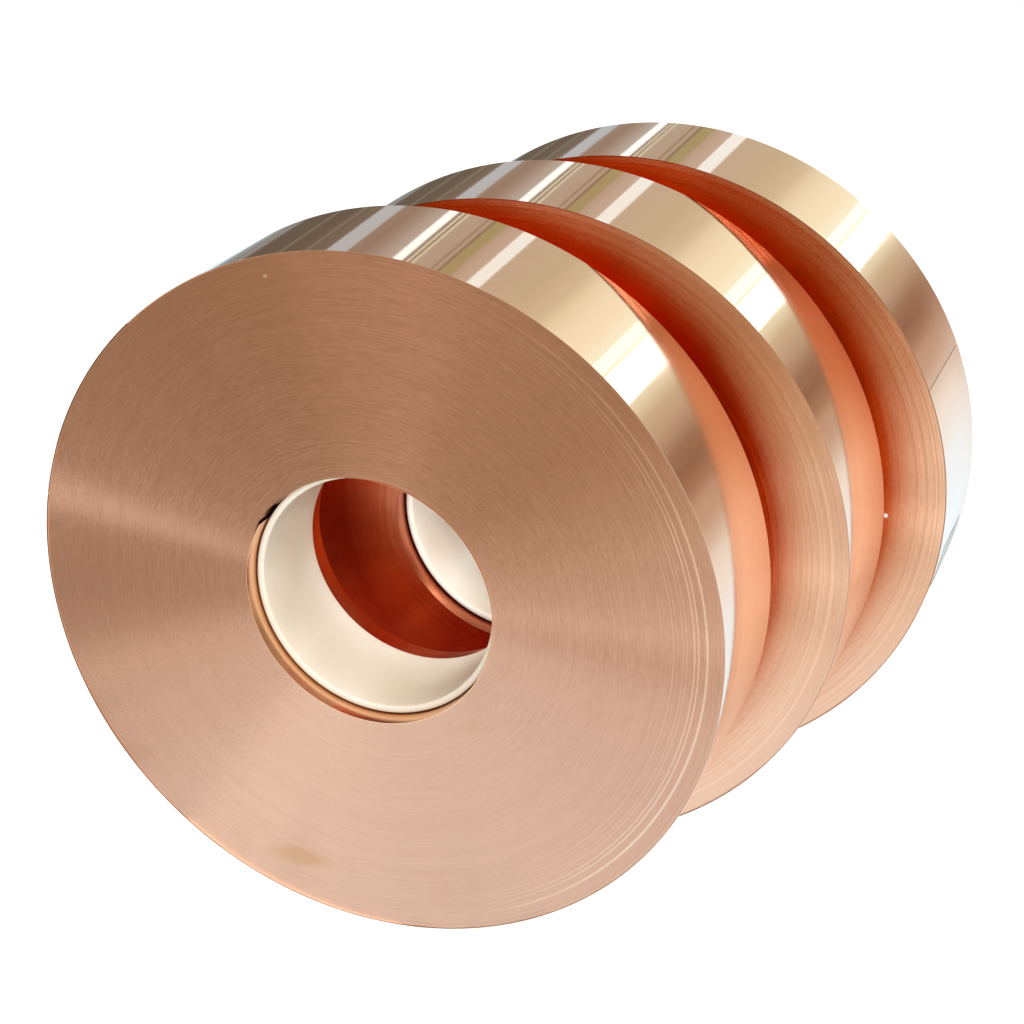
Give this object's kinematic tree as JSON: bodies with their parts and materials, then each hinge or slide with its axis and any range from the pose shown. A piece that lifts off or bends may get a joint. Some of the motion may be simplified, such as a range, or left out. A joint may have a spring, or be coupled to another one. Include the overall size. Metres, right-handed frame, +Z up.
{
  "type": "copper foil tape roll set",
  "caption": "Wide rolls of copper foil wound on plastic cores, standing on their rims one behind another, each with a free foil tail held down by a clear tab.",
  "frame": {"origin": "under the middle of the set's bounding box, on the surface that the rolls stand on", "axes": "+Z up; +Y along the rolls' axes, from the front roll to the rear one; +X to the right seen from the front, the way the rolls step sideways"},
  "size_m": [0.2628, 0.1842, 0.224],
  "materials": {
    "core_plastic": "ivory moulded plastic, semi-gloss, slightly translucent looking",
    "strip_adhesive": "double-sided adhesive strip, matt, straw coloured",
    "copper_inner": "bright copper foil, mirror-like, orange from repeated reflection",
    "copper_edge": "slit edges of tightly packed copper foil, satin, fine concentric lines",
    "copper_rim": "rolled copper foil, mirror bright, faint lines along the rolling direction",
    "tab_film": "clear adhesive film, greyish, glossy"
  },
  "bodies": {
    "front_roll": {"front_core": "core_plastic", "front_core_strip": "strip_adhesive", "front_start_turn": "copper_inner", "front_winding": "copper_edge", "front_last_turn": "copper_rim"},
    "middle_roll": {"middle_core": "core_plastic", "middle_core_strip": "strip_adhesive", "middle_start_turn": "copper_inner", "middle_winding": "copper_edge", "middle_last_turn": "copper_rim"},
    "rear_roll": {"rear_core": "core_plastic", "rear_core_strip": "strip_adhesive", "rear_start_turn": "copper_inner", "rear_winding": "copper_edge", "rear_last_turn": "copper_rim"},
    "front_tail": {"front_tail": "copper_rim", "front_end_tab": "tab_film"},
    "middle_tail": {"middle_tail": "copper_rim", "middle_end_tab": "tab_film"},
    "rear_tail": {"rear_tail": "copper_rim", "rear_end_tab": "tab_film"}
  },
  "joints": [
    {"name": "middle_roll_slide", "type": "slide", "parent": "front_roll", "child": "middle_roll", "axis": [0, 1, 0], "range_m": [-0.016, 0.06]},
    {"name": "rear_roll_slide", "type": "slide", "parent": "middle_roll", "child": "rear_roll", "axis": [0, 1, 0], "range_m": [-0.0125, 0.06]},
    {"name": "front_tail_lift", "type": "hinge", "parent": "front_roll", "child": "front_tail", "pos_m": [-0.12907, -0.0663, 0.13372], "axis": [0, -1, 0], "range_deg": [0, 75]},
    {"name": "middle_tail_lift", "type": "hinge", "parent": "middle_roll", "child": "middle_tail", "pos_m": [-0.10936, 0.0017, 0.12795], "axis": [0, -1, 0], "range_deg": [0, 75]},
    {"name": "rear_tail_lift", "type": "hinge", "parent": "rear_roll", "child": "rear_tail", "pos_m": [0.12246, 0.0663, 0.15532], "axis": [0, -1, 0], "range_deg": [0, 75]}
  ]
}
